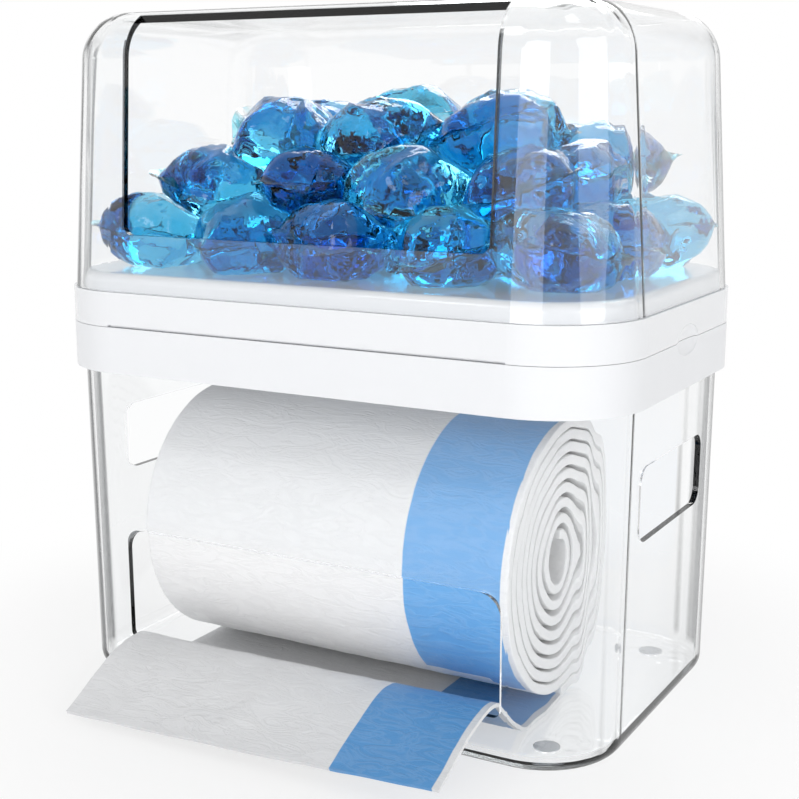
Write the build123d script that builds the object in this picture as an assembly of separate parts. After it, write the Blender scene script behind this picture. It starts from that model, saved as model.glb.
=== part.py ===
"""Trash bag and pod dispenser: a clear bag tub, a white collar, a lift-off pod tray and a lift-off clear cover.

Millimetres, +Z up, the front faces -Y, the origin lies on the floor under the middle of the tub.
"""

import os
from math import ceil, cos, floor, radians, sin, sqrt, tan

from build123d import *

# Plan outline of the white band, all clear walls are moved in from it
BAND_W = 254.0
BAND_D = 168.0
BAND_R = 38.0

# Heights: the tub takes a share of the whole, the white band and the tray rise from there
TOTAL_H = 280.0
TUB_SHARE = 0.484
COLLAR_H = 19.1
SKIRT_H = 14.2
PLATEAU_RISE = 7.2
BAND_BOTTOM_Z = TOTAL_H * TUB_SHARE
PARTING_Z = BAND_BOTTOM_Z + COLLAR_H
BAND_TOP_Z = PARTING_Z + SKIRT_H
PLATEAU_Z = BAND_TOP_Z + PLATEAU_RISE

# Clearances between pieces
SEAT_GAP = 0.2
FIT_GAP = 0.4
POD_GAP = 0.5

# Clear tub
WALL = 2.5
TUB_FLOOR = 4.0
TUB_INSET = 3.8
TUB_DRAFT = 0.5
TUB_BASE_R = 7.0
RIM_FLANGE_T = 2.0
FOOT_D = 10.0
FOOT_H = 1.0
FOOT_END = 31.0
FOOT_SIDE = 28.0
FOOT_X = BAND_W / 2 - FOOT_END
FOOT_Y = BAND_D / 2 - FOOT_SIDE

# Front window of the tub
BAG_WINDOW_END = 40.5
BAG_WINDOW_W = BAND_W - 2 * BAG_WINDOW_END
BAG_LIP_Z = 20.5
BAG_WINDOW_TOP_Z = 68.5
BAG_WINDOW_TOP_R = 9.0
BAG_WINDOW_LIP_R = 3.0

# Handle holes in the sides of the tub
HANDLE_SIDE = 48.0
HANDLE_H = 29.5
HANDLE_DROP = 25.0
HANDLE_R = 6.5
HANDLE_W = BAND_D - 2 * HANDLE_SIDE
HANDLE_TOP_Z = BAND_BOTTOM_Z - HANDLE_DROP

# White collar and tray
SKIN = 2.2
COLLAR_WEB_T = 3.0
COLLAR_INNER_DROP = 8.0
PLATEAU_EDGE_R = 4.0
SPIGOT_DROP = 8.0
PRY_GAP_H = 0.8
PRY_GAP_D = 1.6
SCOOP_W = 25.0
SCOOP_H = 12.0
SCOOP_D = 1.5

# Clear pod cover
COVER_STEP = 1.2
COVER_DRAFT = 3.8
COVER_TOP_R = 20.0
POD_WINDOW_END = 46.0
POD_WINDOW_W = BAND_W - 2 * POD_WINDOW_END
POD_LIP_H = 16.0
POD_LIP_R = 4.0
POD_WINDOW_BACK = 18.0
COVER_ROOM = 4.5

# Roll of bags: as long as the window lets through, as thick as the tub takes; its band in shares of its radius
ROLL_END_GAP = 2.0
ROLL_FRONT = 12.5
ROLL_BACK = 38.5
HALF_TURNS = 17
BAND_SHARE = 0.072
STEP_SHARE = 0.04
GROWTH_SHARE = 0.0011
ROLL_L = BAG_WINDOW_W - 2 * ROLL_END_GAP
ROLL_R = (BAND_D - ROLL_FRONT - ROLL_BACK) / 2
ROLL_Y = ROLL_FRONT + ROLL_R - BAND_D / 2

# Leading bag
FILM_T = 1.5
RAMP_ANGLE = 36.0
RAMP_R = 14.0
HUMP_R = 9.0
DROOP_R = 55.0
DROOP_ANGLE = 24.0
DROOP_L = 25.0

# Pods: as wide as lets the first layer lie side by side in the tray
POD_END_ROOM = 44.0
POD_SIDE_ROOM = 42.0
POD_FLANGE = 3.0
POD_FILM_T = 0.8
POD_SHOULDER = 8.0
POD_CROWN = 12.5
POD_CUT = 0.42
POD_STRAY = 3.0
POD_TILT = 11.0
POD_TILT_GROWTH = 3.0
POD_SLIDE = 12
HEAP_CELL = 1.0

# Layers of the pod heap: columns, rows, spacing along X and Y in pod widths, shift along X
POD_LAYERS = (
    (5, 3, 1.095, 1.12, 0.0),
    (4, 3, 1.143, 1.048, 0.0),
    (3, 2, 1.12, 1.0, -6.0),
)

# Derived places
FLOOR_Z = TUB_FLOOR
COLLAR_TOP_Z = PARTING_Z - SEAT_GAP
RIM_Z = COLLAR_TOP_Z - COLLAR_WEB_T
COVER_Z = BAND_TOP_Z + SEAT_GAP
POD_LIP_Z = PLATEAU_Z + POD_LIP_H
FRONT_Y = -BAND_D / 2
POD_REACH = min((BAND_W - POD_END_ROOM) / POD_LAYERS[0][0], (BAND_D - POD_SIDE_ROOM) / POD_LAYERS[0][1]) / 2
POD_HALF = POD_REACH - POD_FLANGE
FOOT_NAMES = {(-1, -1): "front_left", (1, -1): "front_right", (-1, 1): "back_left", (1, 1): "back_right"}
FOOT_PLACES = tuple(FOOT_NAMES)


def slab(inset, low, high, draft=0.0):
    """Solid on the plan outline moved in by inset, from low to high, narrowing upwards by draft degrees."""
    outline = RectangleRounded(BAND_W - 2 * inset, BAND_D - 2 * inset, BAND_R - inset)
    return extrude(Plane.XY.offset(low) * outline, amount=high - low, taper=draft)


def ring(outer, inner, low, high):
    """Upright wall between two insets of the plan outline."""
    return slab(outer, low, high) - slab(inner, low, high)


def tub_inset(height):
    """Inset of the outer face of the tub wall at a height."""
    return TUB_INSET + tan(radians(TUB_DRAFT)) * (BAND_BOTTOM_Z - height)


def bottom_edges(solid):
    return solid.faces().sort_by(Axis.Z)[0].edges()


def top_edges(solid):
    return solid.faces().sort_by(Axis.Z)[-1].edges()


def scoop_tool():
    """Two shallow ovals, one on each side, centred on the parting line."""
    oval = scale(Sphere(1.0), by=(SCOOP_D, SCOOP_W / 2, SCOOP_H / 2))
    return [Pos(side * BAND_W / 2, 0, PARTING_Z) * oval for side in (-1, 1)]


def bag_tub():
    outer = fillet(bottom_edges(tub_block(0.0, 0.0)), TUB_BASE_R)
    inner = fillet(bottom_edges(tub_block(WALL, FLOOR_Z)), TUB_BASE_R - WALL)
    flange_low = RIM_Z - RIM_FLANGE_T
    flange = ring(SKIN + FIT_GAP, tub_inset(RIM_Z) + WALL / 2, flange_low, RIM_Z)
    tub = outer + flange - inner
    window = Pos(0, (BAG_LIP_Z + BAG_WINDOW_TOP_Z) / 2) * Rectangle(BAG_WINDOW_W, BAG_WINDOW_TOP_Z - BAG_LIP_Z)
    window = fillet(window.vertices().group_by(Axis.Y)[-1], BAG_WINDOW_TOP_R)
    window = fillet(window.vertices().group_by(Axis.Y)[0], BAG_WINDOW_LIP_R)
    tub -= extrude(Plane.XZ * window, amount=BAND_D / 2)
    hole = Pos(0, HANDLE_TOP_Z - HANDLE_H / 2) * RectangleRounded(HANDLE_W, HANDLE_H, HANDLE_R)
    handles = extrude(Plane.YZ * hole, amount=BAND_W / 2, both=True)
    tub -= handles
    for side, end in FOOT_PLACES:
        tub -= foot(side, end, FIT_GAP / 2)
    return tub


def tub_block(wall, low):
    """Drafted block of the tub, moved in by wall, from low up to the rim."""
    return slab(tub_inset(low) + wall, low, RIM_Z, -TUB_DRAFT)


def collar_ring():
    inner_face = tub_inset(RIM_Z) + WALL + FIT_GAP
    inner_back = inner_face + SKIN
    collar = ring(0, inner_back, RIM_Z, COLLAR_TOP_Z)
    collar += ring(0, SKIN, BAND_BOTTOM_Z, RIM_Z)
    collar += ring(inner_face, inner_back, RIM_Z - COLLAR_INNER_DROP, RIM_Z)
    return cut_scoops(collar)


def cut_scoops(solid):
    for tool in scoop_tool():
        solid -= tool
    return solid


def pod_tray():
    ledge_low = BAND_TOP_Z - SKIN
    plateau_inset = COVER_STEP + WALL + FIT_GAP
    spigot_inset = tub_inset(RIM_Z) + WALL + 2 * FIT_GAP + SKIN
    skirt = slab(0, PARTING_Z, BAND_TOP_Z) - slab(SKIN, PARTING_Z, ledge_low)
    rise = slab(plateau_inset, ledge_low, PLATEAU_Z, COVER_DRAFT)
    rise = fillet(top_edges(rise), PLATEAU_EDGE_R)
    tray = skirt + rise - slab(plateau_inset + SKIN, ledge_low - 1, PLATEAU_Z - SKIN, COVER_DRAFT)
    spigot = ring(spigot_inset, spigot_inset + SKIN, PARTING_Z - SPIGOT_DROP, PLATEAU_Z - SKIN)
    flat = BAND_W - 2 * BAND_R
    pry = Pos(0, FRONT_Y, PARTING_Z) * Box(flat, 2 * PRY_GAP_D, 2 * PRY_GAP_H)
    return cut_scoops(tray + spigot - pry)


def pod_cover():
    outer = fillet(top_edges(slab(COVER_STEP, COVER_Z, TOTAL_H, COVER_DRAFT)), COVER_TOP_R)
    room = slab(COVER_STEP + WALL, COVER_Z, TOTAL_H - WALL, COVER_DRAFT)
    room = fillet(top_edges(room), COVER_TOP_R - WALL)
    notch = Pos(0, POD_LIP_Z) * Rectangle(POD_WINDOW_W, TOTAL_H, align=(Align.CENTER, Align.MIN))
    notch = fillet(notch.vertices().group_by(Axis.Y)[0], POD_LIP_R)
    back = Plane.XZ.offset(-FRONT_Y - POD_WINDOW_BACK)
    return outer - room - extrude(back * notch, amount=BAND_D)


def foot(side, end, gap=0.0):
    """Round pad let into the base, or its pocket with a gap round it."""
    pad = Cylinder(FOOT_D / 2 + gap, FOOT_H, align=(Align.CENTER, Align.CENTER, Align.MIN))
    return Pos(side * FOOT_X, end * FOOT_Y, 0) * pad


def march(start, heading, moves, offset):
    """Edges of a curve made of straight runs and arcs, moved to its left by offset, in the side plane.

    A move is (length, 0) for a straight run and (radius, turn in degrees) for an arc, left turns positive.
    """
    y, z = start
    edges = []
    for size, turn in moves:
        a = radians(heading)
        if turn == 0:
            near = (y - offset * sin(a), z + offset * cos(a))
            y, z = y + size * cos(a), z + size * sin(a)
            far = (y - offset * sin(a), z + offset * cos(a))
            edges.append(Line(near, far))
            continue
        side = 1 if turn > 0 else -1
        centre = (y - side * size * sin(a), z + side * size * cos(a))
        edges.append(CenterArc(centre, size - side * offset, heading - side * 90, turn))
        heading += turn
        a = radians(heading)
        y, z = centre[0] + side * size * sin(a), centre[1] - side * size * cos(a)
    return edges


def film_strip(start, heading, moves, thickness):
    """Bag film following the moves, as long as the roll, with its thickness to the left of the path."""
    base = march(start, heading, moves, 0.0)
    lifted = march(start, heading, moves, thickness)
    ends = [Line(base[0] @ 0, lifted[0] @ 0), Line(base[-1] @ 1, lifted[-1] @ 1)]
    face = make_face(base + lifted + ends)
    return extrude(Plane.YZ * face, amount=ROLL_L / 2, both=True)


def bag_roll():
    """Half circles of falling radius, wound in from the bottom of the roll round the back."""
    moves = []
    radius = ROLL_R
    for turn in range(HALF_TURNS):
        moves.append((radius, 180.0))
        radius -= ROLL_R * (STEP_SHARE + turn * GROWTH_SHARE)
    return film_strip((ROLL_Y, FLOOR_Z + SEAT_GAP), 0.0, moves, ROLL_R * BAND_SHARE)


def leading_bag():
    """From the bottom of the roll along the floor, up a ramp, over the lip and down outside."""
    a = radians(RAMP_ANGLE)
    start_z = FLOOR_Z + SEAT_GAP
    climb = BAG_LIP_Z + FIT_GAP - start_z
    ramp = (climb - (RAMP_R + HUMP_R) * (1 - cos(a))) / sin(a)
    lip_y = FRONT_Y + tub_inset(BAG_LIP_Z) + WALL / 2
    run = ROLL_Y - lip_y - (RAMP_R + HUMP_R) * sin(a) - ramp * cos(a)
    moves = [
        (run, 0),
        (RAMP_R, -RAMP_ANGLE),
        (ramp, 0),
        (HUMP_R, RAMP_ANGLE),
        (DROOP_R, DROOP_ANGLE),
        (DROOP_L, 0),
    ]
    return film_strip((ROLL_Y, start_z), 180.0, moves, -FILM_T)


def pod_rings():
    """Half size and height of the eight-sided rings of a pod, from its lower crown to its upper crown."""
    half = [(POD_HALF, POD_FILM_T / 2), (0.8 * POD_HALF, POD_SHOULDER), (0.42 * POD_HALF, POD_CROWN)]
    upper = [(POD_REACH, POD_FILM_T / 2)] + half
    return [(size, -height) for size, height in reversed(upper)] + upper


def ring_points(size, height):
    """Square of a half size with cut corners, at a height."""
    c = size * (1 - POD_CUT)
    flat = [(size, -c), (size, c), (c, size), (-c, size), (-size, c), (-size, -c), (-c, -size), (c, -size)]
    return [(x, y, height) for x, y in flat]


def pod_shape():
    rings = [ring_points(size, height) for size, height in pod_rings()]
    faces = [Face(Wire.make_polygon([Vector(*p) for p in loop], close=True)) for loop in (rings[0], rings[-1])]
    for low, high in zip(rings, rings[1:]):
        for k in range(8):
            j = (k + 1) % 8
            loop = (low[k], low[j], high[j], high[k])
            faces.append(Face(Wire.make_polygon([Vector(*p) for p in loop], close=True)))
    return Solid(Shell(faces))


def convex_planes(rings):
    """Outward planes (normal, offset) of the convex block through a stack of rings."""
    loops = [ring_points(size, height) for size, height in rings]
    planes = [((0, 0, 1), rings[-1][1]), ((0, 0, -1), -rings[0][1])]
    for low, high in zip(loops, loops[1:]):
        for k in range(8):
            a, b, c = low[k], low[(k + 1) % 8], high[k]
            u = [b[i] - a[i] for i in range(3)]
            v = [c[i] - a[i] for i in range(3)]
            n = (u[1] * v[2] - u[2] * v[1], u[2] * v[0] - u[0] * v[2], u[0] * v[1] - u[1] * v[0])
            planes.append((n, sum(n[i] * a[i] for i in range(3))))
    return planes


def turned(yaw, lean, roll):
    """Rows of the turn about X by lean, then about Y by roll, then about Z by yaw."""
    cx, sx = cos(radians(lean)), sin(radians(lean))
    cy, sy = cos(radians(roll)), sin(radians(roll))
    cz, sz = cos(radians(yaw)), sin(radians(yaw))
    return (
        (cz * cy, cz * sy * sx - sz * cx, cz * sy * cx + sz * sx),
        (sz * cy, sz * sy * sx + cz * cx, sz * sy * cx - cz * sx),
        (-sy, cy * sx, cy * cx),
    )


def upright_span(planes, rows, dx, dy):
    """Lowest and highest point of a turned block on the upright line at (dx, dy) from its centre, or None."""
    foot_point = [rows[0][i] * dx + rows[1][i] * dy for i in range(3)]
    low, high = -1e6, 1e6
    for normal, offset in planes:
        rate = sum(normal[i] * rows[2][i] for i in range(3))
        room = offset - sum(normal[i] * foot_point[i] for i in range(3))
        if abs(rate) < 1e-9:
            if room < 0:
                return None
        elif rate > 0:
            high = min(high, room / rate)
        else:
            low = max(low, room / rate)
    return (low, high) if low < high else None


def pod_places():
    """Plan place and turn of each pod, layer by layer; the turns follow smooth waves so that no two are alike."""
    places = []
    for layer, (columns, rows, pitch_x, pitch_y, shift) in enumerate(POD_LAYERS):
        tilt = POD_TILT + layer * POD_TILT_GROWTH
        for row in range(rows):
            for column in range(columns):
                n = len(places)
                x = (column - (columns - 1) / 2) * pitch_x * 2 * POD_REACH + shift + POD_STRAY * sin(2.4 * n)
                y = (row - (rows - 1) / 2) * pitch_y * 2 * POD_REACH + POD_STRAY * cos(1.7 * n)
                places.append((x, y, 41.0 * n, tilt * sin(1.9 * n), tilt * cos(2.6 * n)))
    return places


def pod_spans(rows):
    """Underside and top of a turned pod over each cell of its footprint, counted from its centre."""
    rings = pod_rings()
    blocks = (convex_planes(rings[:3] + rings[5:]), convex_planes(rings[3:5]))
    reach = ceil(sqrt(2) * POD_REACH / HEAP_CELL)
    spans = {}
    for i in range(-reach, reach + 1):
        for j in range(-reach, reach + 1):
            found = [upright_span(planes, rows, i * HEAP_CELL, j * HEAP_CELL) for planes in blocks]
            found = [span for span in found if span]
            if found:
                spans[i, j] = (min(span[0] for span in found), max(span[1] for span in found))
    return spans


def resting_place(spans, heap, x, y):
    """Lowest place near (x, y) where a pod can lie on the heap: its cell and its height."""
    radius = max(abs(i) for i, _ in spans), max(abs(j) for _, j in spans)
    room = COVER_STEP + WALL + COVER_ROOM
    limit = floor((BAND_W / 2 - room) / HEAP_CELL) - radius[0], floor((BAND_D / 2 - room) / HEAP_CELL) - radius[1]
    best = None
    for di in range(-POD_SLIDE, POD_SLIDE + 1, 2):
        for dj in range(-POD_SLIDE, POD_SLIDE + 1, 2):
            column = max(-limit[0], min(limit[0], round(x / HEAP_CELL) + di))
            line = max(-limit[1], min(limit[1], round(y / HEAP_CELL) + dj))
            height = max(heap.get((column + i, line + j), PLATEAU_Z) - low for (i, j), (low, _) in spans.items())
            score = (round(height), di * di + dj * dj)
            if best is None or score < best[0]:
                best = (score, column, line, height + POD_GAP)
    return best[1:]


def pods():
    """Drop the pods one after another; each slides to the lowest place near by and rests on those below."""
    heap = {}
    solids = []
    for x, y, yaw, lean, roll in pod_places():
        spans = pod_spans(turned(yaw, lean, roll))
        column, line, height = resting_place(spans, heap, x, y)
        for (i, j), (_, high) in spans.items():
            cell = (column + i, line + j)
            heap[cell] = max(heap.get(cell, PLATEAU_Z), height + high)
        place = Pos(column * HEAP_CELL, line * HEAP_CELL, height)
        solids.append(place * Rot(Z=yaw) * Rot(Y=roll) * Rot(X=lean) * pod_shape())
    return solids


def nodes():
    """All pieces by name."""
    pieces = {
        "bag_tub": bag_tub(),
        "collar_ring": collar_ring(),
        "pod_tray": pod_tray(),
        "pod_cover": pod_cover(),
        "bag_roll": bag_roll(),
        "leading_bag": leading_bag(),
    }
    for side, end in FOOT_PLACES:
        pieces[f"foot_{FOOT_NAMES[side, end]}"] = foot(side, end)
    for number, solid in enumerate(pods(), start=1):
        pieces[f"pod_{number:02d}"] = solid
    return pieces


os.makedirs("parts", exist_ok=True)
for name, solid in nodes().items():
    export_step(solid, f"parts/{name}.step")
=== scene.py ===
"""Dressed trash bag and pod dispenser: clear shells, white collar and tray, bag roll and pod heap."""

import logging
from collections.abc import Callable
from dataclasses import dataclass
from enum import Enum
from math import ceil, cos, hypot, radians, sin

import bpy
import numpy as np
from mathutils import Matrix, Vector, noise


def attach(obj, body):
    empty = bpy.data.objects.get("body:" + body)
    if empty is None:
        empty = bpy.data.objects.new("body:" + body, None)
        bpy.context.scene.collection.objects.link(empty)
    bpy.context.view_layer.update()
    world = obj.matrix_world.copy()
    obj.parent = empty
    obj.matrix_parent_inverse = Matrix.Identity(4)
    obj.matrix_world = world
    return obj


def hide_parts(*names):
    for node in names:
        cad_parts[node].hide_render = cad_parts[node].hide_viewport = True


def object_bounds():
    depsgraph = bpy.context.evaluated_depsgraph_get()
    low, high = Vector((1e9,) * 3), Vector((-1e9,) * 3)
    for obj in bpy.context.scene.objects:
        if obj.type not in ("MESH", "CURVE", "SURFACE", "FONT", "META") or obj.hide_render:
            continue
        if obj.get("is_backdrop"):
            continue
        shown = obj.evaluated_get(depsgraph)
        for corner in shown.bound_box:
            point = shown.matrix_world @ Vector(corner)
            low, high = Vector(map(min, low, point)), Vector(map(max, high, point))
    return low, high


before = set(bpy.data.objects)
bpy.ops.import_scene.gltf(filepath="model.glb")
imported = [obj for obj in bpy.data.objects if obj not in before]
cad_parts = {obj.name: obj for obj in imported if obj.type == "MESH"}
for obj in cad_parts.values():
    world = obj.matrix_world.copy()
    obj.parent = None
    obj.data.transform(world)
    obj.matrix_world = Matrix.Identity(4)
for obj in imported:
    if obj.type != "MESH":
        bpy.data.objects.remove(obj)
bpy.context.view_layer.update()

MM = 0.001
LOG = logging.getLogger("dispenser")

Socket = bpy.types.NodeSocket
Node = bpy.types.Node
Material = bpy.types.Material
Piece = bpy.types.Object
Colour = tuple[float, float, float]
Point = tuple[float, float, float]
Span = tuple[float, float]

WHITE: Colour = (1.0, 1.0, 1.0)
PLASTIC_IOR = 1.49
NOISE_MIDDLE = 0.5
GEL_LAYER = "gel"
POD_PREFIX = "pod_"
TINY = 1e-9
COVER_NOTCH = {"half_width": 81.0, "low": 100.0, "high": 392.0, "corner": 4.0, "wall": 65.4}


class Body(Enum):
    """Bodies of the dispenser that new pieces move with."""

    TUB = "tub"
    TRAY = "tray"


class Slot(Enum):
    """Material slots of the record that new pieces take."""

    FILM = "bag_film"
    GEL = "pod_gel"


class Tone(Enum):
    """Colour of the gel in a pod."""

    PALE = (0.30, 0.80, 0.92)
    MID = (0.09, 0.66, 0.88)
    DEEP = (0.04, 0.55, 0.83)


def solid(colour: Colour) -> tuple[float, float, float, float]:
    """Colour with full alpha."""
    return (*colour, 1.0)


def scaled(colour: Colour, share: float) -> Colour:
    """Colour times a share."""
    return tuple(share * part for part in colour)


class Tree:
    """A node tree with short calls to add nodes and join them."""

    MIX_FIRST = 6
    MIX_SECOND = 7
    MIX_COLOUR = 2

    def __init__(self, tree: bpy.types.NodeTree) -> None:
        """Keep the tree."""
        self.tree = tree

    def link(self, source: Socket, target: Socket) -> None:
        """Join two sockets."""
        self.tree.links.new(source, target)

    def add(self, kind: str, values: dict[str | int, object] | None = None, **settings: object) -> Node:
        """Add a node.

        Args:
            kind: Type of the node without its ShaderNode prefix.
            values: Value or source socket of each input, by name or number.
            **settings: Properties of the node.

        Returns:
            The new node.
        """
        node = self.tree.nodes.new(f"ShaderNode{kind}")
        for name, setting in settings.items():
            setattr(node, name, setting)
        for key, value in (values or {}).items():
            if isinstance(value, Socket):
                self.link(value, node.inputs[key])
            else:
                node.inputs[key].default_value = value
        return node

    def math(self, operation: str, *values: Socket | float) -> Socket:
        """Output of a math node on sockets or numbers."""
        return self.add("Math", dict(enumerate(values)), operation=operation).outputs[0]

    def blend(self, mask: Socket, first: Socket | tuple, second: Socket | tuple) -> Socket:
        """Colour between two colours by a mask."""
        values = {0: mask, self.MIX_FIRST: first, self.MIX_SECOND: second}
        return self.add("Mix", values, data_type="RGBA").outputs[self.MIX_COLOUR]

    def ramp(self, value: Socket, span: Span, to: tuple = (0.0, 1.0), **settings: object) -> Socket:
        """Value mapped from one span to another and held at its ends."""
        return self.add("MapRange", dict(enumerate((value, *span, *to))), **settings).outputs[0]

    def place(self) -> Socket:
        """Place on the object in metres."""
        return self.add("TexCoord").outputs["Object"]

    def parts(self, vector: Socket) -> bpy.types.NodeOutputs:
        """X, Y and Z of a vector."""
        return self.add("SeparateXYZ", {0: vector}).outputs

    def stretch(self, place: Socket, scale: Socket | Point) -> Socket:
        """Place times a scale for each axis."""
        return self.add("VectorMath", {0: place, 1: scale}, operation="MULTIPLY").outputs[0]

    def noise(self, place: Socket, scale: Socket | float, detail: float = 2.0, **more: float) -> Socket:
        """Noise at a place."""
        values = {"Vector": place, "Scale": scale, "Detail": detail, **more}
        return self.add("TexNoise", values).outputs["Fac"]

    def bump(self, shader: Node, height: Socket, strength: float, distance: float) -> None:
        """Bump the faces that a shader dresses by a height."""
        made = self.add("Bump", {"Height": height, "Strength": strength, "Distance": distance})
        self.link(made.outputs[0], shader.inputs["Normal"])


def new_group(
    name: str, inputs: dict[str, float], outputs: tuple[str, ...]
) -> tuple[Tree, bpy.types.NodeOutputs, bpy.types.NodeInputs]:
    """Start a shader node group.

    Args:
        name: Name of the effect.
        inputs: Default of each number input.
        outputs: Names of the number outputs.

    Returns:
        The tree, the sockets of its input node and those of its output node.
    """
    group = bpy.data.node_groups.new(name, "ShaderNodeTree")
    for key, value in inputs.items():
        group.interface.new_socket(key, in_out="INPUT", socket_type="NodeSocketFloat").default_value = value
    for key in outputs:
        group.interface.new_socket(key, in_out="OUTPUT", socket_type="NodeSocketFloat")
    source = group.nodes.new("NodeGroupInput").outputs
    sink = group.nodes.new("NodeGroupOutput").inputs
    return Tree(group), source, sink


class Effects:
    """Effects that more than one material uses, each built once as a node group."""

    DRIFT = (0.3, 0.7)
    DRIFT_DETAIL = 4.0
    WAVE_DETAIL = 3.0
    WAVE_ROUGHNESS = 0.55
    WAVE_DISTORTION = 1.6
    CREASE_WIDTH = 0.09
    CREASE_HEIGHT = 0.4
    FINE_HEIGHT = 0.3

    def __init__(self) -> None:
        """Build the groups."""
        self.grain = self.moulded_grain()
        self.crinkle = self.film_crinkle()
        self.opening = self.opening_edge()

    def moulded_grain(self) -> bpy.types.NodeTree:
        """Roughness that drifts over a moulded face, and the height of its fine grain.

        Returns:
            The group.
        """
        sizes = {"Low": 0.25, "High": 0.4, "Drift": 18.0, "Grain": 900.0}
        tree, source, sink = new_group("MouldedGrain", sizes, ("Roughness", "Height"))
        place = tree.place()
        drift = tree.noise(place, source["Drift"], self.DRIFT_DETAIL)
        tree.link(tree.ramp(drift, self.DRIFT, (source["Low"], source["High"])), sink["Roughness"])
        tree.link(tree.noise(place, source["Grain"]), sink["Height"])
        return tree.tree

    def film_crinkle(self) -> bpy.types.NodeTree:
        """Height of the fine creases in thin film, and a mask of their ridges.

        Returns:
            The group.
        """
        sizes = {"Long": 40.0, "Short": 150.0, "Fine": 500.0}
        tree, source, sink = new_group("FilmCrinkle", sizes, ("Height", "Ridge"))
        place = tree.place()
        scale = tree.add("CombineXYZ", {0: source["Long"], 1: source["Short"], 2: source["Short"]}).outputs[0]
        waves = tree.noise(
            tree.stretch(place, scale),
            1.0,
            self.WAVE_DETAIL,
            Roughness=self.WAVE_ROUGHNESS,
            Distortion=self.WAVE_DISTORTION,
        )
        off = tree.math("ABSOLUTE", tree.math("SUBTRACT", waves, NOISE_MIDDLE))
        ridge = tree.ramp(off, (0.0, self.CREASE_WIDTH), (1.0, 0.0))
        creased = tree.math("MULTIPLY_ADD", ridge, self.CREASE_HEIGHT, waves)
        fine = tree.noise(place, source["Fine"], self.WAVE_DETAIL)
        tree.link(tree.math("MULTIPLY_ADD", fine, self.FINE_HEIGHT, creased), sink["Height"])
        tree.link(ridge, sink["Ridge"])
        return tree.tree

    def opening_edge(self) -> bpy.types.NodeTree:
        """Mask of an opening with rounded corners: its room, its cut face and a margin of the wall.

        Returns:
            The group.
        """
        keys = ("Across", "Up", "Half width", "Half height", "Middle", "Corner", "Margin")
        tree, source, sink = new_group("OpeningEdge", dict.fromkeys(keys, 0.0), ("Mask",))
        across = tree.math("ABSOLUTE", source["Across"])
        up = tree.math("ABSOLUTE", tree.math("SUBTRACT", source["Up"], source["Middle"]))
        wide = tree.math("ADD", tree.math("SUBTRACT", across, source["Half width"]), source["Corner"])
        high = tree.math("ADD", tree.math("SUBTRACT", up, source["Half height"]), source["Corner"])
        squares = [tree.math("POWER", tree.math("MAXIMUM", part, 0.0), 2.0) for part in (wide, high)]
        outside = tree.math("SQRT", tree.math("ADD", *squares))
        inside = tree.math("MINIMUM", tree.math("MAXIMUM", wide, high), 0.0)
        off = tree.math("SUBTRACT", tree.math("ADD", outside, inside), source["Corner"])
        tree.link(tree.math("LESS_THAN", off, source["Margin"]), sink["Mask"])
        return tree.tree


def start_material(name: str) -> tuple[Material, Tree, Node, Node]:
    """Start a material.

    Args:
        name: Name of the material.

    Returns:
        The material, its tree, its Principled shader and its output.
    """
    material = bpy.data.materials.new(name)
    material.use_nodes = True
    nodes = material.node_tree.nodes
    return material, Tree(material.node_tree), nodes["Principled BSDF"], nodes["Material Output"]


def set_values(shader: Node, **values: object) -> None:
    """Set inputs of a shader by name, with underscores for spaces."""
    for key, value in values.items():
        shader.inputs[key.replace("_", " ")].default_value = value


def let_lamps_through(tree: Tree, shader: Node, output: Node, tint: Colour) -> None:
    """Let lamps and soft light pass clear material straight, so that what is inside is lit.

    Args:
        tree: Tree of the material.
        shader: Its clear shader.
        output: Its output.
        tint: Share of the light that passes.
    """
    path = tree.add("LightPath").outputs
    soft = tree.math("MAXIMUM", path["Is Shadow Ray"], path["Is Diffuse Ray"])
    clear = tree.add("BsdfTransparent", {"Color": solid(tint)})
    mixed = tree.add("MixShader", {0: soft, 1: shader.outputs[0], 2: clear.outputs[0]})
    tree.link(mixed.outputs[0], output.inputs["Surface"])


def stain_inside(tree: Tree, output: Node, colour: Colour, density: float) -> None:
    """Deepen the colour of clear material the thicker it is."""
    inside = tree.add("VolumeAbsorption", {"Color": solid(colour), "Density": density})
    tree.link(inside.outputs[0], output.inputs["Volume"])


@dataclass(frozen=True)
class Opening:
    """Opening in a clear wall, in millimetres, with the plane that the wall lies beyond and the colour of the
    shade painted on its edge.
    """

    half_width: float
    low: float
    high: float
    corner: float
    wall: float
    in_front: bool = True
    above: float = 0.0
    below: float = 1000.0
    margin: float = 0.03
    through: bool = False
    # shade is the colour of the shade painted on the cut face and a margin of the wall round it
    shade: Colour = (0.07, 0.075, 0.08)

    def mask(self, tree: Tree, effects: Effects) -> Socket:
        """Mask of the painted shade on the edge of the opening, on the wall that it is in.

        Args:
            tree: Tree of the material.
            effects: Shared node groups.

        Returns:
            The mask, 1 where shade is painted on the edge.
        """
        place = tree.parts(tree.place())
        values = {
            "Across": place["X"] if self.in_front else place["Y"],
            "Up": place["Z"],
            "Half width": self.half_width * MM,
            "Half height": (self.high - self.low) / 2 * MM,
            "Middle": (self.high + self.low) / 2 * MM,
            "Corner": self.corner * MM,
            "Margin": self.margin * MM,
        }
        edge = tree.add("Group", values, node_tree=effects.opening).outputs["Mask"]
        outward = ("MULTIPLY", place["Y"], -1.0) if self.in_front else ("ABSOLUTE", place["X"])
        beyond = tree.math("GREATER_THAN", tree.math(*outward), self.wall * MM)
        wall = tree.math("MULTIPLY", edge, beyond)
        low = tree.math("GREATER_THAN", place["Z"], self.above * MM)
        high = tree.math("LESS_THAN", place["Z"], self.below * MM)
        return tree.math("MULTIPLY", wall, tree.math("MULTIPLY", low, high))


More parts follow.
